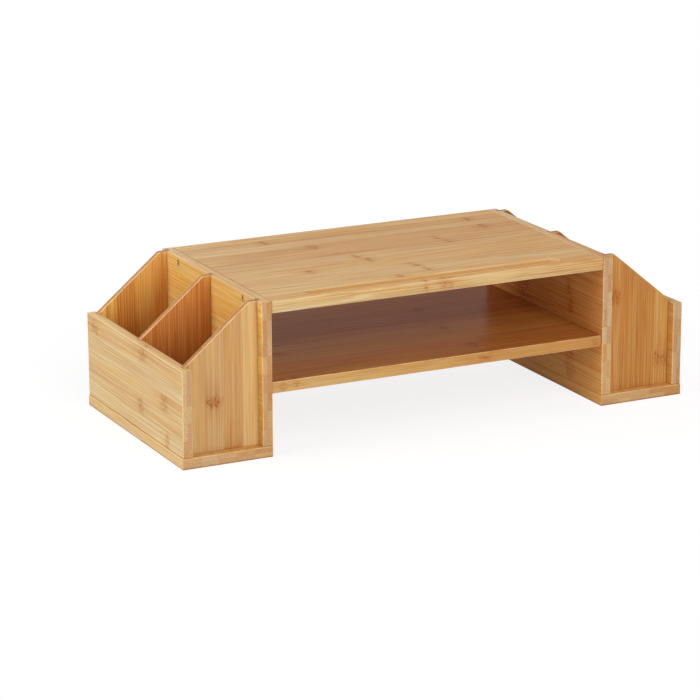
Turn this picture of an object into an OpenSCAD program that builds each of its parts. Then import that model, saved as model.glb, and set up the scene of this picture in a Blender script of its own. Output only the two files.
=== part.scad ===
// Bamboo monitor riser stand: two organisers joined by a top board and a shelf.
// Millimetres. +X is right, +Y is back and +Z is up.
// The origin is the centre of the footprint on the ground.

/* [Overall] */
// Width over both base plates
stand_w = 575; // [540:1:620]
// Depth from the front edges to the rear edges
stand_d = 250; // [245:1:290]
// Height of the top board's upper face and the inner panels
stand_h = 160; // [150:1:175]

/* [Boards] */
// Thickness of the top board
top_t = 12.5; // [11:0.5:14]
// Thickness of the shelf board
shelf_t = 12; // [11:0.5:14]
// Height of the shelf's upper face
shelf_top = 77; // [65:1:90]
// Setback of the top board from the panels' front and rear edges
top_setback = 0.6; // [0:0.1:2]
// Setback of the shelf from the panels' front and rear edges
shelf_setback = 1.5; // [0:0.1:4]
// Radius of the eased edges on every board
ease_r = 1; // [0.6:0.1:1.4]

/* [Organisers] */
// Width of each organiser, from its base plate's edge to its inner panel's bay face
organiser_w = 98; // [90:1:105]
// Thickness of the base plates
base_t = 11.5; // [10:0.5:14]
// Thickness of the tall inner panels
inner_t = 11; // [10:0.5:14]
// Thickness of the low outer panels
outer_t = 10.5; // [10:0.5:14]
// Height of the outer panels' top edges
outer_top = 101; // [96:1:104]
// Setback of the outer panels from the base plates' outer edges
outer_setback = 0.8; // [0:0.1:2]

/* [Dividers] */
// Thickness of each divider
divider_t = 7; // [6.5:0.5:9]
// Distance of the front divider's face from the front edge
divider_inset = 10.5; // [6:0.5:12]
// Spacing of the front, middle and rear dividers
divider_pitch = 113; // [105:0.5:113]
// Drop of the dividers' flat tops below the inner panels' tops
divider_drop = 0.3; // [0.2:0.1:2]
// Length of the flat top between the inner panel and the slope
divider_flat = 8.5; // [7:0.5:12]
// Angle of the sloped edge below the horizontal
divider_slope = 39.6; // [38:0.1:41]
// Radius of the corner between the flat top and the slope
divider_corner_r = 4; // [3:0.5:8]
// Radius of the divider's upper arrises
divider_arris_r = 1.2; // [0.6:0.1:2]
// Depth of the upright grooves that hold the dividers
groove_depth = 4; // [3:0.5:5]
// Clearance at each face of a divider in its groove
groove_play = 0.3; // [0.2:0.05:0.5]
// Gap between a divider's inner end and its groove's floor
inner_gap = 0.5; // [0.3:0.1:1]
// Gap between a divider's outer end and its groove's floor
outer_gap = 1.3; // [0.3:0.1:2]

/* [Pen groove] */
// Length of the groove in the top board
pen_l = 290; // [200:5:340]
// Width of the groove
pen_w = 11.5; // [6:0.5:14]
// Depth of the groove
pen_depth = 4; // [2:0.5:6]
// Width and height of the bevel round the groove's rim
pen_bevel = 1.2; // [0.4:0.1:1.6]
// Distance of the groove's centre line from the front edge
pen_from_front = 18; // [14:1:40]

/* [Screws] */
// Distance of every screw from the front or rear edge
screw_from_edge = 44; // [36:1:60]
// Thread diameter of the board screws
board_screw_d = 4; // [3.5:0.1:4.2]
// Length of the board screws below the head
board_screw_l = 35; // [30:1:45]
// Head diameter of the board screws
board_head_d = 6.8; // [6:0.1:7]
// Head height of the board screws
board_head_h = 2.6; // [2.2:0.1:3]
// Diameter of the counterbores that hide the heads
counterbore_d = 7.4; // [7.2:0.1:8]
// Depth of the counterbores
counterbore_depth = 3.6; // [3.2:0.1:5]
// Thread diameter of the base screws
base_screw_d = 3.5; // [3:0.1:3.8]
// Length of the base screws with their countersunk heads
base_screw_l = 30; // [26:1:40]
// Head diameter of the base screws
base_head_d = 7; // [6:0.1:7.4]
// Depth of the base screws' heads below the base plate's underside
base_head_recess = 0.8; // [0.4:0.1:1.5]

/* [Hidden] */
$fn = 64;

light_bamboo = [0.86, 0.70, 0.47];
warm_bamboo = [0.83, 0.63, 0.38];
deep_bamboo = [0.74, 0.50, 0.26];
zinc = [0.62, 0.58, 0.51];

// Faces of the right organiser along X, and the front edge along Y
edge_x = stand_w / 2;
bay_x = edge_x - organiser_w;
inner_x = bay_x + inner_t;
outer_face_x = edge_x - outer_setback;
outer_x = outer_face_x - outer_t;
front_y = -stand_d / 2;
screw_ys = [front_y + screw_from_edge, -front_y - screw_from_edge];

// Heights of the screws that enter the middle of each board's ends
top_screw_z = stand_h - top_t / 2;
shelf_screw_z = shelf_top - shelf_t / 2;

// Ends, top and corner centre of a divider
divider_in_x = inner_x - groove_depth + inner_gap;
divider_out_x = outer_x + groove_depth - outer_gap;
divider_top = stand_h - divider_drop;
corner_x = inner_x + divider_flat - divider_corner_r * tan(divider_slope / 2);
corner_z = divider_top - divider_corner_r;
divider_reach = 2 * stand_h;
corner_steps = 5;
arris_steps = 3;
function divider_y(index) = front_y + divider_inset + index * divider_pitch;

// Screw forms
screw_play = 0.05;
shank_play = 0.15;
thread_pitch = 1.8;
thread_core_ratio = 0.7;
screw_tip_l = 5;
head_round_r = 0.8;
cross_w = 1;
cross_ratio = 0.6;
cross_depth_ratio = 0.6;
base_shank_l = base_t - base_head_recess;
board_shank_l = inner_t - counterbore_depth;
// Margin by which cuts run past the faces they open
cut_margin = 5;

// A rectangle with rounded corners, from the origin
module eased_rect(w, h) {
    translate([ease_r, 0])
        square([w - 2 * ease_r, h]);
    translate([0, ease_r])
        square([w, h - 2 * ease_r]);
    for (x = [ease_r, w - ease_r])
        for (y = [ease_r, h - ease_r])
            translate([x, y])
                circle(ease_r);
}

// A board with all its edges rounded, from the origin
module eased_board(size) {
    intersection() {
        linear_extrude(size.z)
            eased_rect(size.x, size.y);
        translate([0, size.y, 0])
            rotate([90, 0, 0])
                linear_extrude(size.y)
                    eased_rect(size.x, size.z);
        rotate([90, 0, 90])
            linear_extrude(size.x)
                eased_rect(size.y, size.z);
    }
}

// Points of a screw's outline from its seat at z = 0 down to its tip: shank, thread ridges, point
function screw_outline(d, l, shank_l) =
    let (
        core_r = thread_core_ratio * d / 2,
        ridges = floor((l - shank_l - screw_tip_l) / thread_pitch)
    )
    concat(
        [[0, 0], [d / 2, 0], [d / 2, -shank_l]],
        [
            for (i = [0 : ridges - 1])
                each [
                    [core_r, -shank_l - i * thread_pitch],
                    [d / 2, -shank_l - (i + 0.5) * thread_pitch]
                ]
        ],
        [[core_r, screw_tip_l - l], [0, -l]]
    );

// Cross recess cut into the top of a screw head at z = 0
module cross_recess(head_d, head_h) {
    for (a = [0, 90])
        rotate(a)
            translate([-cross_ratio * head_d / 2, -cross_w / 2, -cross_depth_ratio * head_h])
                cube([cross_ratio * head_d, cross_w, head_h]);
}

// Pan-head screw with its head's seat at z = 0 and its thread below
module board_screw() {
    difference() {
        rotate_extrude() {
            polygon(screw_outline(board_screw_d, board_screw_l, board_shank_l));
            square([board_head_d / 2 - head_round_r, board_head_h]);
            square([board_head_d / 2, board_head_h - head_round_r]);
            translate([board_head_d / 2 - head_round_r, board_head_h - head_round_r])
                circle(head_round_r);
        }
        translate([0, 0, board_head_h])
            cross_recess(board_head_d, board_head_h);
    }
}

// Countersunk screw with its head's flat face at z = 0 and its thread below
module base_screw() {
    head_h = (base_head_d - base_screw_d) / 2;
    difference() {
        rotate_extrude() {
            polygon(screw_outline(base_screw_d, base_screw_l, base_shank_l));
            polygon([[0, 0], [base_head_d / 2, 0], [base_screw_d / 2, -head_h], [0, -head_h]]);
        }
        cross_recess(base_head_d, head_h);
    }
}

// Placing of a board screw: head in the inner panel, thread towards the middle of the stand
module at_board_screws(z) {
    for (y = screw_ys)
        translate([inner_x - counterbore_depth, y, z])
            rotate([0, 90, 0])
                children();
}

// Placing of a base screw: head under the base plate, thread up into a panel
module at_base_screws(x) {
    for (y = screw_ys)
        translate([x, y, base_head_recess])
            rotate([180, 0, 0])
                children();
}

// Bore for a board screw's thread in the end of a board
module board_screw_bore() {
    translate([0, 0, -board_screw_l])
        cylinder(h = board_screw_l + cut_margin, r = board_screw_d / 2 + screw_play);
}

// Bore and counterbore for a board screw in an inner panel
module panel_screw_bore() {
    translate([0, 0, -board_screw_l])
        cylinder(h = board_screw_l + cut_margin, r = board_screw_d / 2 + shank_play);
    cylinder(h = counterbore_depth + cut_margin, r = counterbore_d / 2);
}

// Bore and countersink for a base screw in a base plate
module base_plate_bore() {
    head_r = base_head_d / 2 + shank_play;
    bore_r = base_screw_d / 2 + shank_play;
    translate([0, 0, -base_screw_l])
        cylinder(h = base_screw_l, r = bore_r);
    translate([0, 0, bore_r - head_r])
        cylinder(h = head_r - bore_r, r1 = bore_r, r2 = head_r);
    cylinder(h = cut_margin, r = head_r);
}

// Bore for a base screw's thread in the foot of a panel
module panel_foot_bore() {
    translate([0, 0, -base_screw_l])
        cylinder(h = base_screw_l, r = base_screw_d / 2 + screw_play);
}

// Upright grooves for the three dividers, cut from x on
module divider_grooves(x, top) {
    for (index = [0 : 2])
        translate([x, divider_y(index) - groove_play, 0])
            cube([groove_depth, divider_t + 2 * groove_play, top + cut_margin]);
}

module base_plate() {
    difference() {
        translate([bay_x, front_y, 0])
            eased_board([organiser_w, stand_d, base_t]);
        at_base_screws(bay_x + inner_t / 2)
            base_plate_bore();
        at_base_screws(outer_x + outer_t / 2)
            base_plate_bore();
    }
}

module inner_panel() {
    difference() {
        translate([bay_x, front_y, base_t])
            eased_board([inner_t, stand_d, stand_h - base_t]);
        divider_grooves(inner_x - groove_depth, stand_h);
        at_board_screws(top_screw_z)
            panel_screw_bore();
        at_board_screws(shelf_screw_z)
            panel_screw_bore();
        at_base_screws(bay_x + inner_t / 2)
            panel_foot_bore();
    }
}

module outer_panel() {
    difference() {
        translate([outer_x, front_y, base_t])
            eased_board([outer_t, stand_d, outer_top - base_t]);
        divider_grooves(outer_x, outer_top);
        at_base_screws(outer_x + outer_t / 2)
            panel_foot_bore();
    }
}

// Points of a rounded upper arris about (y, divider_corner_r - divider_arris_r), turning from one angle on
function arris_points(y, angle) = [
    for (step = [0 : arris_steps])
        let (a = angle + step * 90 / arris_steps)
        [y + divider_arris_r * cos(a), divider_corner_r + divider_arris_r * (sin(a) - 1)]
];

// Section of a divider: an upright strip with rounded upper arrises, its top at y = divider_corner_r
module divider_section() {
    polygon(concat(
        [[0, -divider_reach], [divider_t, -divider_reach]],
        arris_points(divider_t - divider_arris_r, 0),
        arris_points(divider_arris_r, 90)
    ));
}

// A long upright plate with the section, its top tangent to the corner's arc
module divider_plate() {
    translate([-divider_reach, 0, 0])
        rotate([90, 0, 90])
            linear_extrude(2 * divider_reach)
                divider_section();
}

// The plates common to the flat top, the corner and the slope, cut to length
module divider(index) {
    translate([0, divider_y(index), 0])
        intersection() {
            translate([divider_in_x, -cut_margin, base_t])
                cube([divider_out_x - divider_in_x, divider_t + 2 * cut_margin, stand_h]);
            translate([corner_x, 0, corner_z])
                intersection_for(step = [0 : corner_steps])
                    rotate([0, step * divider_slope / corner_steps, 0])
                        divider_plate();
        }
}

module pen_groove() {
    end_x = (pen_l - pen_w) / 2;
    wall = pen_w / 2;
    rim = wall + pen_bevel;
    brim = pen_depth + cut_margin;
    side = [[wall, 0], [wall, pen_depth - pen_bevel], [rim, pen_depth], [rim, brim]];
    far_side = [for (k = [len(side) - 1 : -1 : 0]) [-side[k].x, side[k].y]];
    translate([0, front_y + pen_from_front, stand_h - pen_depth]) {
        translate([-end_x, 0, 0])
            rotate([90, 0, 90])
                linear_extrude(2 * end_x)
                    polygon(concat(side, far_side));
        for (x = [-end_x, end_x])
            translate([x, 0, 0])
                rotate_extrude()
                    polygon(concat([[0, 0]], side, [[0, brim]]));
    }
}

// A board between the inner panels, bored at both ends for its screws
module bay_board(top, thickness, setback, screw_z) {
    difference() {
        translate([-bay_x, front_y + setback, top - thickness])
            eased_board([2 * bay_x, stand_d - 2 * setback, thickness]);
        for (side = [0, 1])
            mirror([side, 0, 0])
                at_board_screws(screw_z)
                    board_screw_bore();
    }
}

module top_board() color(light_bamboo) difference() {
    bay_board(stand_h, top_t, top_setback, top_screw_z);
    pen_groove();
}
module shelf_board() color(warm_bamboo) bay_board(shelf_top, shelf_t, shelf_setback, shelf_screw_z);

module left_base_plate() color(warm_bamboo) mirror([1, 0, 0]) base_plate();
module left_inner_panel() color(warm_bamboo) mirror([1, 0, 0]) inner_panel();
module left_outer_panel() color(light_bamboo) mirror([1, 0, 0]) outer_panel();
module left_front_divider() color(deep_bamboo) mirror([1, 0, 0]) divider(0);
module left_middle_divider() color(deep_bamboo) mirror([1, 0, 0]) divider(1);
module left_rear_divider() color(deep_bamboo) mirror([1, 0, 0]) divider(2);

module right_base_plate() color(warm_bamboo) base_plate();
module right_inner_panel() color(warm_bamboo) inner_panel();
module right_outer_panel() color(light_bamboo) outer_panel();
module right_front_divider() color(deep_bamboo) divider(0);
module right_middle_divider() color(deep_bamboo) divider(1);
module right_rear_divider() color(deep_bamboo) divider(2);

module base_screws() {
    at_base_screws(bay_x + inner_t / 2)
        base_screw();
    at_base_screws(outer_x + outer_t / 2)
        base_screw();
}
module left_top_screws() color(zinc) mirror([1, 0, 0]) at_board_screws(top_screw_z) board_screw();
module left_shelf_screws() color(zinc) mirror([1, 0, 0]) at_board_screws(shelf_screw_z) board_screw();
module left_base_screws() color(zinc) mirror([1, 0, 0]) base_screws();
module right_top_screws() color(zinc) at_board_screws(top_screw_z) board_screw();
module right_shelf_screws() color(zinc) at_board_screws(shelf_screw_z) board_screw();
module right_base_screws() color(zinc) base_screws();

top_board();
shelf_board();
left_base_plate();
left_inner_panel();
left_outer_panel();
left_front_divider();
left_middle_divider();
left_rear_divider();
right_base_plate();
right_inner_panel();
right_outer_panel();
right_front_divider();
right_middle_divider();
right_rear_divider();
left_top_screws();
left_shelf_screws();
left_base_screws();
right_top_screws();
right_shelf_screws();
right_base_screws();
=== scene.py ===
"""Looks of the monitor riser stand: lacquered bamboo, zinc screws, pale floor, soft light and camera."""
import math
from collections import namedtuple
from functools import partial, reduce

import bpy
from mathutils import Matrix, Vector

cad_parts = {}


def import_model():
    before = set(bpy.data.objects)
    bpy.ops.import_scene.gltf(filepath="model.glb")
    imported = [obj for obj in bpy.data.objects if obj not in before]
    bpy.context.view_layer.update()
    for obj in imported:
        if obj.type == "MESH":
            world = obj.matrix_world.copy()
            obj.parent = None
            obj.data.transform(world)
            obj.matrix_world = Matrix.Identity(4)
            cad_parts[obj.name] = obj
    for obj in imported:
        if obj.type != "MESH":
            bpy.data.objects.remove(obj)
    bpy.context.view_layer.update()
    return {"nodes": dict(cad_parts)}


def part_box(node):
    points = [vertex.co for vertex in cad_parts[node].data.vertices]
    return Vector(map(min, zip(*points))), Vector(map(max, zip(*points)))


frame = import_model()

MM_PER_M = 1000.0
AXES = "XYZ"
# Numbers of a Mix node's sockets for colours, which share their names with others
MIX_FACTOR = 0
MIX_A = 6
MIX_B = 7
MIX_RESULT = 2
# Whole numbers that differ by less than this are the same
SAME_WITHIN = 0.5
# How much finer detail a noise has, and the middle of its levels and of the strips' tones
SMOOTH_DETAIL = 1.0
PLAIN_DETAIL = 2.0
RAGGED_DETAIL = 3.0
MIDDLE = 0.5

# Bamboo where it is rubbed, paler partly as a painted highlight on rounded edges; what its strips' colour
# is multiplied by at tones 0 and 1, and the deepest tone
WORN_AND_HIGHLIGHT = (0.80, 0.61, 0.35, 1.0)
PALER = (1.05, 1.16, 1.28, 1.0)
DEEPER = (0.95, 0.85, 0.75, 1.0)
DEEPEST_TONE = 2.6
# What it is multiplied by from the rosiest to the most golden strip
ROSY = (0.94, 0.95, 1.06, 1.0)
GOLDEN = (1.06, 1.06, 0.94, 1.0)
# What the colour is multiplied by in details
FIBRE_TINT = (0.84, 0.62, 0.42, 1.0)
STAIN_TINT = (0.78, 0.56, 0.42, 1.0)
KNUCKLE_TINT = (0.70, 0.48, 0.36, 1.0)
KNUCKLE_GLEAM = (1.10, 1.15, 1.20, 1.0)
GLUE_TINT = (0.74, 0.60, 0.46, 1.0)
# Painted shade in the creases where boards meet, and along a base plate's sole on the floor
CREASE_SHADE_TINT = (0.66, 0.46, 0.26, 1.0)
# Bare bamboo, deeper partly as painted shade, on the walls of grooves and bores
BARE_AND_SHADED_TINT = (0.86, 0.76, 0.62)

# Sizes in the bamboo, in millimetres along, across and through
STRIP_WIDTH = 19.0
BAND_SIZE = (300.0, 4.5, 4.5)
HUE_PATCH_SIZE = (45.0, 9.0, 9.0)
STREAK_SIZE = (60.0, 2.0, 2.0)
FIBRE_LENGTH = 180.0
FIBRE_WIDTH = 1.1
WAVER_SIZE = (60.0, 15.0, 15.0)
WAVER_REACH = 2.4
KNUCKLE_WIDTH = 20.0
KNUCKLE_DASH_SIZE = (4.0, 1.2, 1.2)
KNUCKLE_RAG_SIZE = (14.0, 5.0, 5.0)
CURL_SIZE = (7.0, 5.0, 5.0)
CURL_REACH = 6.0
END_SPECK_SIZE = (40.0, 1.0, 1.4)
END_BLOTCH_SIZE = (40.0, 9.0, 5.0)
RUB_SIZE = (18.0, 18.0, 18.0)
# Start of painted crease shade: how far in from a divider's outer end, and above a base plate's underside
DIVIDER_SHADE_START = 3.2
SOLE_SHADE_START = 0.7
# How far apart the noise of neighbouring strips, layers and boards lies, in millimetres or whole fibres
STRIP_SHIFT = 41.0
FIBRE_SHIFT = 20.0
# How far the cells of random hues lie from those of random tones
HUE_SHIFT = (0.0, 0.0, 100.0)
# How ragged a knuckle is and how far its knot and its stain go, in shares of its reach, and what is past it
KNUCKLE_RAG = 0.8
KNOT_REACH = 1.0
STAIN_REACH = 3.5
OUT_OF_REACH = 2.0

# Where smooth rises and falls begin and end. By how much a surface faces outward or along the grain
BROAD_FACING = (0.55, 0.85)
CUT_FACING = (0.45, 0.75)
# By the level of noise
STREAK_LEVELS = (0.44, 0.70)
FIBRE_LEVELS = (0.41, 0.59)
SPECK_LEVELS = (0.42, 0.70)
DASH_LEVELS = (0.46, 0.62)
GLEAM_LEVELS = (0.32, 0.46)
RUB_LEVELS = (0.3, 0.6)
# By the share of a knuckle's reach
KNOT_SHARES = (0.2, 1.0)
STAIN_SHARES = (0.0, 1.0)
# By millimetres below the faces, in from the outline, or from a glue line, a neighbour or a seam
EDGE_KNOT_DEPTHS = (1.0, 5.0)
CARVED_DEPTHS = (0.2, 0.7)
CARVED_MARGINS = (1.5, 3.0)
GLUE_DISTANCES = (0.05, 0.35)
CREASE_SHADE_DISTANCES = (0.2, 1.3)
SEAM_DISTANCES = (1.2, 0.4)

# Random tones and hues of strips where none are set
LOWEST_VALUE = 0.2
VALUE_SPREAD = 0.6
# How far tones and hues stray within a strip, with more of it where streaks are strong
BAND_PER_STREAK = 1.2
HUE_PATCH = 0.6
HUE_PATCH_PER_STREAK = 1.2
# Random tones of cut ends
END_TONE_SPREAD = 1.2
END_TONE_DROP = 0.1
END_BLOTCH = 0.9
# How much of the strips' differences shows on narrow edges, and of a board's tone and painted shade drift
# on faces and edges
EDGE_SHARE = 0.5
FACE_DRIFT = 0.5
EDGE_DRIFT = 1.15
# Strength of details, where 1 is full
KNOT_FIBRES = 0.2
SPECK_STRENGTH = 0.95
STAIN_STRENGTH = 0.4
KNOT_STAIN_STRENGTH = 0.3
GLUE_STRENGTH = 0.35
SEAM_STRENGTH = 0.8
DIVIDER_SHADE_STRENGTH = 0.45
ARRIS_GAIN = 4.0
WORN_HIGHLIGHT_STRENGTH = 0.4
# Relief and gloss
STREAK_RELIEF = 0.5
GRAIN_BUMP = {"Strength": 0.07, "Distance": 0.0001}
ROUGHNESS = 0.3
STREAK_ROUGHNESS = 0.2
WORN_ROUGHNESS = 0.12
LACQUER = {"Specular IOR Level": 0.0, "Coat Weight": 0.2, "Coat Roughness": 0.24}

# A board has its axes along the grain, across the strips and through it, and its colours on broad faces,
# on narrow edges along the grain and on cut ends. Its joint is where painted shade darkens a crease: at
# both ends, at its foot, at its sole, or at a divider's foot and left or right side. Then come how strong
# its streaks, fibres and knuckles are, its strips' tones and hues where they are set, and how much deeper
# it gets from end to end, partly as painted light and shade. A tone of 0 is pale and 1 deep, a hue of 0 is
# rosy and
# 1 golden, and a value may lie beyond these.
# Each knuckle has its place along and across the strips, and its reach along them.
Board = namedtuple(
    "Board", "node axes face edge end joint streaks fibres marks tones hues drift knuckles",
    defaults=(0.5, 0.6, 0.7, (), (), 0.0, ()))
BayBoard = partial(Board, axes="XYZ", end=(0.54, 0.33, 0.165), joint="ends")
BasePlate = partial(Board, axes="YXZ", face=(0.69, 0.39, 0.136), joint="sole", streaks=0.3)
Panel = partial(Board, axes="YZX", joint="foot")
Divider = partial(Board, axes="ZXY", edge=(0.70, 0.50, 0.25), end=(0.47, 0.25, 0.09))
BOARDS = (
    BayBoard(
        "top_board",
        face=(0.75, 0.50, 0.24), edge=(0.64, 0.495, 0.268),
        fibres=0.95, marks=0.85, drift=0.75,
        tones=(0.65, 0.3, 0.15, 0.5, 0.35, 0.6, 0.4, 0.75, 0.7, 0.8, 0.2, 0.75, 0.3),
        knuckles=(
            (93, 222, 5), (132, 182, 8), (84, 92, 7), (154, 121, 5), (161, 107, 5), (158, 24, 6),
            (191, 76, 4), (194, 58, 5), (197, 42, 4), (267, 155, 4), (271, 135, 4), (337, 219, 4),
            (337, 184, 6), (195, -5, 13), (172, -5, 3))),
    BayBoard(
        "shelf_board",
        # Deeper than other boards, and deepest and rosiest on the back strips, partly as painted shade
        # under the top board
        face=(0.42, 0.173, 0.0465), edge=(0.56, 0.355, 0.144),
        drift=0.9,
        tones=(0.75, 0.75, 0.65, 0.1, 0.2, 0.05, 0.7, 1.15, 0.95, 1.3, 1.05, 1.15, 1.05),
        hues=(0.7, 0.5, 0.4, 0.9, 0.9, 1.0, 0.7, 0.1, 0.1, 0.0, 0.0, 0.0, 0.0),
        knuckles=(
            (256, 175, 9), (246, 96, 7), (244, 30, 6), (261, 40, 5), (47, 92, 5), (240, -5, 12),
            (12, -5, 6), (27, -5, 5), (371, -5, 6))),
    BasePlate(
        "left_base_plate",
        edge=(0.64, 0.504, 0.269), end=(0.51, 0.321, 0.158),
        knuckles=((60, 30, 7), (190, 70, 7))),
    Panel(
        "left_inner_panel",
        # Its edges are paler partly as a painted highlight on the top edge
        face=(0.66, 0.397, 0.1135), edge=(0.815, 0.61, 0.335), end=(0.49, 0.286, 0.129),
        streaks=0.25, fibres=0.75, drift=-0.3,
        knuckles=((150, 105, 7), (60, 65, 6), (205, 30, 7))),
    Panel(
        "left_outer_panel",
        face=(0.546, 0.391, 0.204), edge=(0.80, 0.59, 0.284), end=(0.51, 0.328, 0.167),
        streaks=0.1, fibres=0.75, marks=0.6,
        tones=(0.1, 0.5, 0.4, 0.3, 0.6),
        knuckles=((101, 83, 14), (107, 25, 10), (46, 53, 14), (47, 38, 14), (41, 4, 8), (229, 72, 14))),
    Divider(
        "left_front_divider",
        face=(0.545, 0.338, 0.141), joint="left",
        streaks=0.4, fibres=0.55, marks=1.0, drift=0.4,
        tones=(0.5, 0.45, 0.7, 0.1), hues=(0.5, 0.25, 0.4, 0.85),
        knuckles=((51, 29, 9), (-8, 48, 16))),
    Divider(
        "left_middle_divider",
        # Deep orange partly as painted shade inside the compartment
        face=(0.56, 0.214, 0.0545), joint="left",
        streaks=0.6, fibres=0.8, drift=-4.5,
        tones=(0.45, 0.55, 0.5, 0.85),
        knuckles=((40, 50, 7), )),
    Divider(
        "left_rear_divider",
        # Deep orange partly as painted shade inside the compartment
        face=(0.705, 0.348, 0.087), joint="left",
        streaks=0.6, fibres=0.95, drift=-3.5,
        tones=(-0.4, 1.0, 0.2, 0.9), hues=(0.8, 0.3, 0.5, 0.3),
        knuckles=((30, 14, 7), )),
    BasePlate(
        "right_base_plate",
        # Its side edges are brighter and oranger partly as painted light on its side in the bay
        edge=(0.89, 0.515, 0.157), end=(0.485, 0.283, 0.1235),
        knuckles=((50, 60, 7), (180, 25, 7))),
    Panel(
        "right_inner_panel",
        # Its edges are paler partly as a painted highlight on the top edge, and its upper strips deeper and
        # rosier partly as painted shade under the top board
        face=(0.763, 0.389, 0.110), edge=(0.81, 0.58, 0.30), end=(0.50, 0.323, 0.163),
        streaks=0.25, fibres=0.95, marks=0.8, drift=-1.6,
        tones=(-0.05, -0.1, 0.0, 0.35, 0.3, 0.3, 0.25, 0.1),
        hues=(0.9, 0.9, 0.9, 0.1, 0.0, -0.1, -0.1, 0.0),
        knuckles=(
            (70, 98, 6), (66, 82, 9), (66, 14, 14), (67, 27, 14), (165, 66, 24), (170, 84, 24),
            (180, 120, 9))),
    Panel(
        "right_outer_panel",
        face=(0.68, 0.372, 0.109), edge=(0.757, 0.55, 0.268), end=(0.463, 0.288, 0.1425),
        knuckles=((60, 60, 7), (170, 25, 7), (210, 75, 6))),
    Divider(
        "right_front_divider",
        # Deeper than the left front divider, partly as painted shade with the light coming from the left
        face=(0.475, 0.23, 0.0645), joint="right",
        streaks=0.6, fibres=0.75, drift=0.5,
        tones=(0.05, 0.55, 0.6, -0.5), hues=(0.5, 0.45, 0.5, 0.6),
        knuckles=((101, 12, 12), (29, 68, 12))),
    Divider(
        "right_middle_divider",
        # Deep and dark partly as painted shade inside the compartment
        face=(0.43, 0.175, 0.044), joint="right",
        knuckles=((70, 35, 8), )),
    Divider(
        "right_rear_divider",
        # Deep and dark partly as painted shade inside the compartment
        face=(0.39, 0.152, 0.039), joint="right",
        knuckles=((55, 55, 8), )),
)

# Screws and their zinc plating, with the size of its mottling in millimetres
SCREWS = [node for node in frame["nodes"] if node.endswith("_screws")]
ZINC_DULL = (0.50, 0.44, 0.35, 1.0)
ZINC_BRIGHT = (0.80, 0.72, 0.60, 1.0)
ZINC_METALLIC = 0.7
ZINC_ROUGHNESS = 0.35
MOTTLE_SIZE = (1.2, 1.2, 1.2)
MOTTLE_ROUGHNESS = 0.25
MOTTLE_BUMP = {"Strength": 0.15, "Distance": 0.00005}

# Floor, light and camera, in metres and watts
WHITE = (1.0, 1.0, 1.0, 1.0)
WHITE_LEVEL = 1.0
WORLD_LEVEL = 0.03
FLOOR_SIZE = 30.0
FLOOR_COLOUR = (0.9, 0.9, 0.9, 1.0)
SEEN_FLOOR_COLOUR = (0.22, 0.22, 0.22, 1.0)
SEEN_FLOOR_GLOW = 0.82
SHADOW_REACH = (0.25, 0.6)
PHOTO_SIZE = 700.0
FOCAL_PIXELS = 3011.6
SENSOR_MM = 36.0
CAMERA_PLACE = Vector((-1.3856, -2.7187, 0.9218))
CAMERA_TURN = math.radians(-26.294)
CAMERA_TILT = math.radians(-15.867)
CAMERA_ROLL = math.radians(0.247)
# Turns a camera up from looking straight down to looking level
CAMERA_LEVEL = math.radians(90)
# Lamps by where they stand round the object: 0 degrees is in front, -90 is left
Lamp = namedtuple("Lamp", "name azimuth elevation power")
LAMPS = (
    Lamp("left_light", -90.0, 20.0, 55.0),
    Lamp("front_light", 0.0, 15.0, 33.0),
    Lamp("front_top_light", 0.0, 40.0, 27.0),
    Lamp("right_light", 90.0, 30.0, 18.0),
    Lamp("back_light", 180.0, 30.0, 21.0),
)
LAMP_SIZE = 1.6
LAMP_DISTANCE = 2.6


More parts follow.
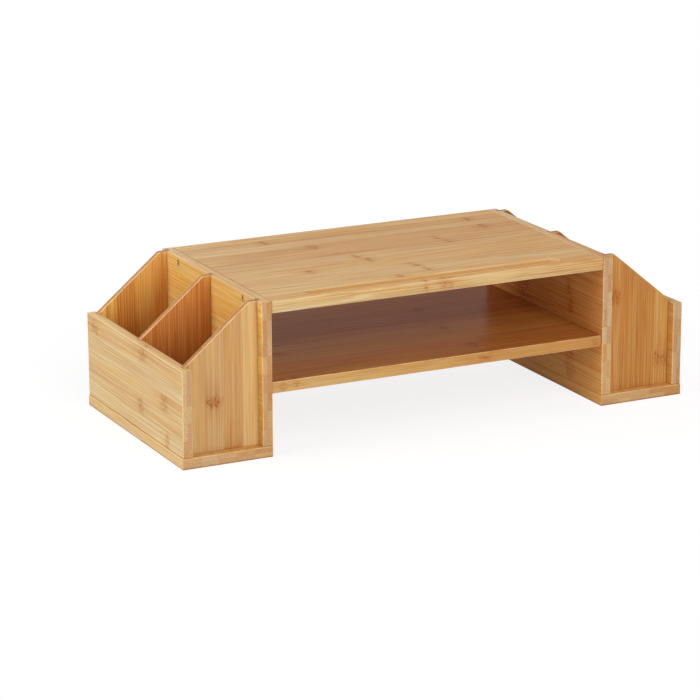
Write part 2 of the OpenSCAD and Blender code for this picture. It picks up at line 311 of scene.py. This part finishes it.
class Graph:
    """Adds shader nodes to one tree. Most calls return an output socket of a new node."""

    def __init__(self, tree):
        self.tree = tree

    def feed(self, node, inputs):
        """Gives a node's inputs their sockets or plain values."""
        for key, value in inputs.items():
            if isinstance(value, bpy.types.NodeSocket):
                self.tree.links.new(value, node.inputs[key])
            else:
                node.inputs[key].default_value = value

    def add(self, kind, inputs, output=0, **settings):
        node = self.tree.nodes.new(kind)
        for name, value in settings.items():
            setattr(node, name, value)
        self.feed(node, inputs)
        return node.outputs[output]

    def math(self, operation, *values, clamp=False):
        return self.add("ShaderNodeMath", dict(enumerate(values)), operation=operation, use_clamp=clamp)

    def product(self, *values):
        return reduce(partial(self.math, "MULTIPLY"), values)

    def smallest(self, *values):
        return reduce(partial(self.math, "MINIMUM"), values)

    def opposite(self, value):
        """0 where a value is 1, and 1 where it is 0."""
        return self.math("SUBTRACT", 1.0, value)

    def equal(self, number, other):
        """1 where two whole numbers are the same, and 0 elsewhere."""
        return self.math("COMPARE", number, other, SAME_WITHIN)

    def from_sides(self, value, size):
        """Distance from the nearer side of something of that size."""
        return self.smallest(value, self.math("SUBTRACT", size, value))

    def vector(self, operation, *values):
        return self.add("ShaderNodeVectorMath", dict(enumerate(values)), operation=operation)

    def length(self, vector):
        return self.add("ShaderNodeVectorMath", {0: vector}, output="Value", operation="LENGTH")

    def combine(self, x, y, z):
        return self.add("ShaderNodeCombineXYZ", {0: x, 1: y, 2: z})

    def parts(self, vector):
        """The three components of a vector."""
        split = self.add("ShaderNodeSeparateXYZ", {0: vector}).node
        return list(split.outputs)

    def coordinate(self, kind):
        """A place on the object, or the way its surface faces there."""
        return self.add("ShaderNodeTexCoord", {}, output=kind)

    def millimetres(self, place):
        return self.vector("MULTIPLY", place, (MM_PER_M, MM_PER_M, MM_PER_M))

    def noise(self, position, size, detail=PLAIN_DETAIL):
        """Smooth noise about its middle, with features of that size along each axis."""
        scaled = self.vector("DIVIDE", position, size)
        return self.add("ShaderNodeTexNoise", {"Vector": scaled, "Scale": 1.0, "Detail": detail})

    def sway(self, position, size, reach):
        """Smooth noise about 0, of that reach to both sides together."""
        noise = self.noise(position, size, SMOOTH_DETAIL)
        return self.product(self.math("SUBTRACT", noise, MIDDLE), reach)

    def random(self, cell):
        """A random number from 0 to 1 for a cell."""
        return self.add("ShaderNodeTexWhiteNoise", {"Vector": cell})

    def step(self, value, low, high):
        """0 below low and 1 above high, with a smooth rise between them."""
        inputs = {"Value": value, "From Min": low, "From Max": high}
        return self.add("ShaderNodeMapRange", inputs, interpolation_type="SMOOTHSTEP")

    def fall(self, value, low, high):
        """1 below low and 0 above high, with a smooth fall between them."""
        return self.opposite(self.step(value, low, high))

    def mix(self, factor, a, b, blend="MIX", clamp=True):
        inputs = {MIX_FACTOR: factor, MIX_A: a, MIX_B: b}
        settings = {"data_type": "RGBA", "blend_type": blend, "clamp_factor": clamp}
        return self.add("ShaderNodeMix", inputs, output=MIX_RESULT, **settings)

    def tint(self, factor, colour, tint, clamp=True):
        """A colour multiplied by another, as far as the factor says."""
        return self.mix(factor, colour, tint, blend="MULTIPLY", clamp=clamp)


def opaque(colour):
    return (*colour, 1.0)


def new_material(name):
    """A material with nodes, and its shader node ready for colour and gloss."""
    material = bpy.data.materials.new(name)
    material.use_nodes = True
    return material, material.node_tree.nodes["Principled BSDF"]


def board_axes(board):
    """Numbers of the axes along the grain, across the strips and through the board."""
    return [AXES.index(axis) for axis in board.axes]


def board_size(board):
    """Millimetres along, across and through a board."""
    low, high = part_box(board.node)
    return [(high[axis] - low[axis]) * MM_PER_M for axis in board_axes(board)]


def board_position(graph, board):
    """Millimetres along, across and through a board from its lowest corner."""
    low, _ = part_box(board.node)
    offset = graph.vector("SUBTRACT", graph.coordinate("Object"), low)
    parts = graph.parts(graph.millimetres(offset))
    return [parts[axis] for axis in board_axes(board)]


class BoardGraph(Graph):
    """Shader nodes for one board. It starts with the places and amounts that several details share."""

    def __init__(self, tree, board):
        super().__init__(tree)
        self.board = board
        # Millimetres along, across and through the board, and below its nearer face
        self.length_mm, self.width_mm, self.thickness_mm = board_size(board)
        self.along, self.across, self.through = board_position(self, board)
        self.position = self.combine(self.along, self.across, self.through)
        self.inside = self.from_sides(self.through, self.thickness_mm)
        # 1 on broad faces, on cut ends and off cut ends, and how much of the strips' differences shows
        lengthwise, self.outward = self.facing()
        self.broad = self.step(self.outward, *BROAD_FACING)
        self.cut = self.step(lengthwise, *CUT_FACING)
        self.uncut = self.opposite(self.cut)
        share = self.math("MULTIPLY_ADD", self.broad, 1.0 - EDGE_SHARE, EDGE_SHARE)
        self.shown = self.product(share, self.uncut)
        # Strips, knuckles, and places in the grain that differ from strip to strip
        self.index, self.cell, self.glue = self.strips()
        self.knot, self.stain = self.knuckles()
        self.bent = self.bent_grain()
        shift = (STRIP_SHIFT, STRIP_SHIFT, STRIP_SHIFT)
        self.strip_place = self.vector("MULTIPLY_ADD", self.cell, shift, self.bent)
        # Details, most of which show in the relief or the gloss too
        self.streak = self.noise(self.strip_place, STREAK_SIZE)
        self.dark = self.product(self.step(self.streak, *STREAK_LEVELS), self.shown, board.streaks)
        self.fine = self.fibres()
        self.mark, self.gleam = self.knuckle_dashes()
        self.wear_and_highlight = self.rubbed_and_highlit_arrises()

    def facing(self):
        """How much the surface faces along the grain and out of the board, from 0 to 1."""
        normal = self.parts(self.coordinate("Normal"))
        along, _, through = board_axes(self.board)
        return self.math("ABSOLUTE", normal[along]), self.math("ABSOLUTE", normal[through])

    def strip_width(self):
        """Millimetres across one of the board's equal strips."""
        return self.width_mm / round(self.width_mm / STRIP_WIDTH)

    def strips(self):
        """A strip's number, its cell of number, layer and board, and how near a glue line is."""
        strip = self.strip_width()
        middle = self.thickness_mm / 2
        place = self.math("DIVIDE", self.across, strip)
        index = self.math("FLOOR", place)
        layer = self.math("GREATER_THAN", self.through, middle)
        cell = self.combine(index, layer, BOARDS.index(self.board) + 1.0)
        beside = self.product(self.from_sides(self.math("FRACT", place), 1.0), strip)
        between = self.math("ABSOLUTE", self.math("SUBTRACT", self.through, middle))
        return index, cell, self.fall(self.smallest(beside, between), *GLUE_DISTANCES)

    def knuckle_distance(self, knuckle, stretch):
        """Distance from a knuckle in its own strip, as a share of its reach, stretched along the strip."""
        along, across, reach = knuckle
        flat = self.vector("MULTIPLY", self.position, (1.0, 1.0, 0.0))
        offset = self.vector("SUBTRACT", flat, (along, across, 0.0))
        distance = self.length(self.vector("DIVIDE", offset, (reach * stretch, KNUCKLE_WIDTH, 1.0)))
        own_strip = max(0.0, across // self.strip_width())
        elsewhere = self.opposite(self.equal(self.index, own_strip))
        return self.math("MULTIPLY_ADD", elsewhere, OUT_OF_REACH, distance)

    def near_knuckle(self, stretch, rag, shares):
        """How near the strip's nearest knuckle is, from 0 to 1."""
        distances = [self.knuckle_distance(knuckle, stretch) for knuckle in self.board.knuckles]
        return self.fall(self.math("ADD", self.smallest(*distances), rag), *shares)

    def knuckles(self):
        """The knots of fibres where the stalk had its nodes, and their stains along the strips."""
        rag = self.sway(self.position, KNUCKLE_RAG_SIZE, KNUCKLE_RAG)
        knot = self.near_knuckle(KNOT_REACH, rag, KNOT_SHARES)
        stain = self.near_knuckle(STAIN_REACH, rag, STAIN_SHARES)
        seen = self.math("MAXIMUM", self.broad, self.step(self.inside, *EDGE_KNOT_DEPTHS))
        return self.product(knot, seen), stain

    def bent_grain(self):
        """The position with the grain's slow waver, and its curl in a knot."""
        curl = self.product(self.sway(self.position, CURL_SIZE, CURL_REACH), self.knot)
        waver = self.math("ADD", self.sway(self.position, WAVER_SIZE, WAVER_REACH), curl)
        return self.vector("ADD", self.position, self.combine(0.0, waver, 0.0))

    def fibres(self):
        """Fine lines along the strips. Whole steps of noise fit through the board, so its faces match."""
        step = self.thickness_mm / round(self.thickness_mm / FIBRE_WIDTH)
        shift = (STRIP_SHIFT, STRIP_SHIFT, FIBRE_SHIFT * step)
        place = self.vector("MULTIPLY_ADD", self.cell, shift, self.bent)
        noise = self.noise(place, (FIBRE_LENGTH, FIBRE_WIDTH, step), SMOOTH_DETAIL)
        strength = self.math("MULTIPLY_ADD", self.knot, KNOT_FIBRES, self.board.fibres)
        return self.product(self.step(noise, *FIBRE_LEVELS), strength, self.uncut)

    def knuckle_dashes(self):
        """Dark and bright dashes in the knots."""
        noise = self.noise(self.bent, KNUCKLE_DASH_SIZE)
        strength = self.product(self.knot, self.uncut, self.board.marks)
        mark = self.product(strength, self.step(noise, *DASH_LEVELS))
        return mark, self.product(strength, self.fall(noise, *GLEAM_LEVELS))

    def rubbed_and_highlit_arrises(self):
        """How much the rounded edges are rubbed and carry a painted highlight, from 0 to 1."""
        arris = self.product(self.outward, self.opposite(self.outward))
        rounded = self.math("MULTIPLY", arris, ARRIS_GAIN, clamp=True)
        rub = self.step(self.noise(self.position, RUB_SIZE, RAGGED_DETAIL), *RUB_LEVELS)
        return self.product(rounded, rub)

    def strip_value(self, values, cell):
        """The value that is set for a strip, or else a random one about the middle."""
        if not values:
            return self.math("MULTIPLY_ADD", self.random(cell), VALUE_SPREAD, LOWEST_VALUE)
        chosen = 0.0
        for number, value in enumerate(values):
            chosen = self.math("MULTIPLY_ADD", self.equal(self.index, float(number)), value, chosen)
        return chosen

    def drift(self):
        """How much deeper a place is than the board's middle: more so on edges, and not on cut ends."""
        # Partly painted light and shade, such as deeper low on the compartments' middle and rear dividers,
        # paler at the front dividers' feet, and deeper towards the right of the top board and shelf
        drift = self.board.drift
        change = self.math("MULTIPLY_ADD", self.along, drift / self.length_mm, -drift / 2)
        gain = self.math("MULTIPLY_ADD", self.broad, FACE_DRIFT - EDGE_DRIFT, EDGE_DRIFT)
        gain = self.math("SUBTRACT", gain, self.product(self.cut, EDGE_DRIFT))
        return self.product(change, gain)

    def end_tone(self):
        """The tone of a cut end, strip by strip and layer by layer, with blotches."""
        blotch = self.sway(self.strip_place, END_BLOTCH_SIZE, END_BLOTCH)
        blotch = self.math("SUBTRACT", blotch, END_TONE_DROP)
        return self.math("MULTIPLY_ADD", self.random(self.cell), END_TONE_SPREAD, blotch)

    def shade(self):
        """What the colour is multiplied by for its tone. Strips differ on faces, and less on edges."""
        band = self.sway(self.strip_place, BAND_SIZE, BAND_PER_STREAK * self.board.streaks)
        tone = self.math("ADD", self.strip_value(self.board.tones, self.cell), band)
        depth = self.math("MULTIPLY_ADD", self.math("SUBTRACT", tone, MIDDLE), self.shown, MIDDLE)
        end_tone = self.math("SUBTRACT", self.end_tone(), MIDDLE)
        depth = self.math("MULTIPLY_ADD", end_tone, self.cut, depth)
        depth = self.smallest(self.math("ADD", depth, self.drift()), DEEPEST_TONE)
        return self.mix(depth, PALER, DEEPER, clamp=False)

    def hue(self):
        """What the colour is multiplied by for its hue. Each strip leans to rose or gold, with patches."""
        reach = HUE_PATCH + HUE_PATCH_PER_STREAK * self.board.streaks
        patch = self.sway(self.strip_place, HUE_PATCH_SIZE, reach)
        cell = self.vector("ADD", self.cell, HUE_SHIFT)
        return self.mix(self.math("ADD", self.strip_value(self.board.hues, cell), patch), ROSY, GOLDEN)

    def strip_colour(self):
        """The strips' colours on a face, an edge or a cut end, before their details."""
        narrow = self.mix(self.cut, opaque(self.board.edge), opaque(self.board.end))
        colour = self.mix(self.broad, narrow, opaque(self.board.face))
        return self.tint(1.0, self.tint(1.0, colour, self.shade()), self.hue())

    def grained(self, colour):
        """A colour with streaks, fibres and the specks of cut ends."""
        specks = self.step(self.noise(self.position, END_SPECK_SIZE), *SPECK_LEVELS)
        colour = self.tint(self.dark, colour, FIBRE_TINT)
        colour = self.tint(self.fine, colour, FIBRE_TINT, clamp=False)
        return self.tint(self.product(specks, self.cut, SPECK_STRENGTH), colour, FIBRE_TINT)

    def knuckled(self, colour):
        """A colour with the stains and the dark and bright dashes of knuckles."""
        stained = self.product(self.knot, KNOT_STAIN_STRENGTH)
        stained = self.math("MULTIPLY_ADD", self.stain, STAIN_STRENGTH, stained)
        colour = self.tint(self.product(stained, self.uncut, self.board.marks), colour, STAIN_TINT)
        colour = self.tint(self.mark, colour, KNUCKLE_TINT)
        return self.tint(self.gleam, colour, KNUCKLE_GLEAM)

    def crease_shade_distance(self):
        """Millimetres from where the painted shade in the crease of the board's joint starts."""
        joint = self.board.joint
        if joint == "ends":
            return self.from_sides(self.along, self.length_mm)
        if joint == "foot":
            return self.across
        if joint == "sole":
            return self.math("SUBTRACT", self.through, SOLE_SHADE_START)
        outer = self.across if joint == "left" else self.math("SUBTRACT", self.width_mm, self.across)
        return self.smallest(self.along, self.math("SUBTRACT", outer, DIVIDER_SHADE_START))

    def carved(self, colour):
        """A colour with bare bamboo and painted shade on the walls and floors of grooves and bores."""
        along = self.from_sides(self.along, self.length_mm)
        across = self.from_sides(self.across, self.width_mm)
        margin = self.step(self.smallest(along, across), *CARVED_MARGINS)
        bare_and_shaded = [part * tint for part, tint in zip(self.board.face, BARE_AND_SHADED_TINT)]
        return self.mix(self.product(margin, self.step(self.inside, *CARVED_DEPTHS)), colour, opaque(bare_and_shaded))

    def seamed(self, colour):
        """A colour with the glue seam along the middle of a divider's sloped edge."""
        start, end = [self.thickness_mm / 2 - distance for distance in SEAM_DISTANCES]
        seam = self.product(self.step(self.inside, start, end), self.cut, SEAM_STRENGTH)
        return self.tint(seam, colour, GLUE_TINT)

    def colour(self):
        """The board's colour with all its details."""
        colour = self.knuckled(self.grained(self.strip_colour()))
        colour = self.tint(self.product(self.glue, GLUE_STRENGTH), colour, GLUE_TINT)
        # Rubbed rounded edges turn paler, which is partly a painted highlight
        colour = self.mix(self.product(self.wear_and_highlight, WORN_HIGHLIGHT_STRENGTH), colour, WORN_AND_HIGHLIGHT)
        # Painted shade in the crease where the board meets its neighbour or the floor
        crease_shade = self.fall(self.crease_shade_distance(), *CREASE_SHADE_DISTANCES)
        divider = self.board.node.endswith("divider")
        if divider:
            crease_shade = self.product(crease_shade, self.broad, DIVIDER_SHADE_STRENGTH)
        colour = self.tint(crease_shade, colour, CREASE_SHADE_TINT)
        return self.seamed(colour) if divider else self.carved(colour)

    def roughness(self):
        roughness = self.math("MULTIPLY_ADD", self.streak, STREAK_ROUGHNESS, ROUGHNESS)
        return self.math("MULTIPLY_ADD", self.wear_and_highlight, WORN_ROUGHNESS, roughness)

    def bump(self):
        """Slight hollows along the streaks, fibres and dark dashes."""
        hollows = self.math("ADD", self.fine, self.mark)
        hollows = self.math("MULTIPLY_ADD", self.dark, STREAK_RELIEF, hollows)
        return self.add("ShaderNodeBump", {**GRAIN_BUMP, "Height": self.product(hollows, -1.0)})


def bamboo(board):
    """Lacquered bamboo for one board: glued strips with fibres, knuckles, cut ends, and worn edges with a
    painted highlight.
    """
    material, shader = new_material("bamboo_" + board.node)
    graph = BoardGraph(material.node_tree, board)
    looks = {"Base Color": graph.colour(), "Roughness": graph.roughness(), "Normal": graph.bump()}
    graph.feed(shader, {**looks, **LACQUER})
    return material


def zinc():
    """Dull zinc plating with faint mottling."""
    material, shader = new_material("zinc_plating")
    graph = Graph(material.node_tree)
    mottle = graph.noise(graph.millimetres(graph.coordinate("Object")), MOTTLE_SIZE, RAGGED_DETAIL)
    colour = graph.mix(mottle, ZINC_DULL, ZINC_BRIGHT)
    roughness = graph.math("MULTIPLY_ADD", mottle, MOTTLE_ROUGHNESS, ZINC_ROUGHNESS)
    bump = graph.add("ShaderNodeBump", {**MOTTLE_BUMP, "Height": mottle})
    looks = {"Base Color": colour, "Roughness": roughness, "Normal": bump, "Metallic": ZINC_METALLIC}
    graph.feed(shader, looks)
    return material


def finish_nodes():
    """Gives every board its bamboo and every screw its plating."""
    for board in BOARDS:
        frame["nodes"][board.node].material_slots[0].material = bamboo(board)
    plating = zinc()
    for node in SCREWS:
        frame["nodes"][node].material_slots[0].material = plating


def seen_rays(graph):
    """1 for rays that show a surface, directly or in gloss or glass, and 0 for light on the object."""
    path = graph.add("ShaderNodeLightPath", {}).node
    seen = graph.math("MAXIMUM", path.outputs["Is Camera Ray"], path.outputs["Is Glossy Ray"])
    return graph.math("MAXIMUM", seen, path.outputs["Is Transmission Ray"])


def pale_floor():
    """Pale where it lights the object, and white with the object's soft shadow where it is seen."""
    material = bpy.data.materials.new("pale_floor")
    material.use_nodes = True
    tree = material.node_tree
    tree.nodes.clear()
    graph = Graph(tree)
    lit = graph.add("ShaderNodeBsdfDiffuse", {"Color": FLOOR_COLOUR})
    shadowed = graph.add("ShaderNodeBsdfDiffuse", {"Color": SEEN_FLOOR_COLOUR})
    glow = graph.add("ShaderNodeEmission", {"Strength": SEEN_FLOOR_GLOW})
    near = graph.add("ShaderNodeAddShader", {0: shadowed, 1: glow})
    white = graph.add("ShaderNodeEmission", {"Strength": WHITE_LEVEL})
    far = graph.step(graph.length(graph.coordinate("Object")), *SHADOW_REACH)
    seen = graph.add("ShaderNodeMixShader", {0: far, 1: near, 2: white})
    surface = graph.add("ShaderNodeMixShader", {0: seen_rays(graph), 1: lit, 2: seen})
    graph.feed(tree.nodes.new("ShaderNodeOutputMaterial"), {"Surface": surface})
    return material


def floor():
    """A wide flat floor under the object."""
    half = FLOOR_SIZE / 2
    corners = [(-half, -half, 0.0), (half, -half, 0.0), (half, half, 0.0), (-half, half, 0.0)]
    mesh = bpy.data.meshes.new("floor")
    mesh.from_pydata(corners, [], [(0, 1, 2, 3)])
    mesh.materials.append(pale_floor())
    plane = bpy.data.objects.new("floor", mesh)
    bpy.context.scene.collection.objects.link(plane)


def world():
    """Even light all round, and white where it is seen."""
    surroundings = bpy.data.worlds.new("studio")
    bpy.context.scene.world = surroundings
    surroundings.use_nodes = True
    tree = surroundings.node_tree
    tree.nodes.clear()
    graph = Graph(tree)
    light = graph.add("ShaderNodeBackground", {"Color": WHITE, "Strength": WORLD_LEVEL})
    backdrop = graph.add("ShaderNodeBackground", {"Color": WHITE, "Strength": WHITE_LEVEL})
    both = graph.add("ShaderNodeMixShader", {0: seen_rays(graph), 1: light, 2: backdrop})
    graph.feed(tree.nodes.new("ShaderNodeOutputWorld"), {"Surface": both})


def lamps():
    """Soft square lamps that face the object."""
    for lamp in LAMPS:
        data = bpy.data.lights.new(lamp.name, "AREA")
        data.size = LAMP_SIZE
        data.energy = lamp.power
        azimuth = math.radians(lamp.azimuth)
        elevation = math.radians(lamp.elevation)
        level = math.cos(elevation)
        direction = Vector((math.sin(azimuth) * level, -math.cos(azimuth) * level, math.sin(elevation)))
        light = bpy.data.objects.new(lamp.name, data)
        light.location = direction * LAMP_DISTANCE
        light.rotation_euler = direction.to_track_quat("Z", "Y").to_euler()
        bpy.context.scene.collection.objects.link(light)


def camera():
    """A long lens in front of the object, to its left and above it."""
    data = bpy.data.cameras.new("camera")
    data.sensor_width = SENSOR_MM
    data.lens = FOCAL_PIXELS / PHOTO_SIZE * SENSOR_MM
    view = bpy.data.objects.new("camera", data)
    turn = Matrix.Rotation(CAMERA_TURN, 4, "Z")
    tilt = Matrix.Rotation(CAMERA_TILT, 4, "X")
    roll = Matrix.Rotation(CAMERA_ROLL, 4, "Y")
    level = Matrix.Rotation(CAMERA_LEVEL, 4, "X")
    view.matrix_world = Matrix.Translation(CAMERA_PLACE) @ turn @ tilt @ roll @ level
    bpy.context.scene.collection.objects.link(view)
    bpy.context.scene.camera = view


finish_nodes()
floor()
world()
lamps()
camera()
bpy.context.scene.view_settings.view_transform = "Standard"
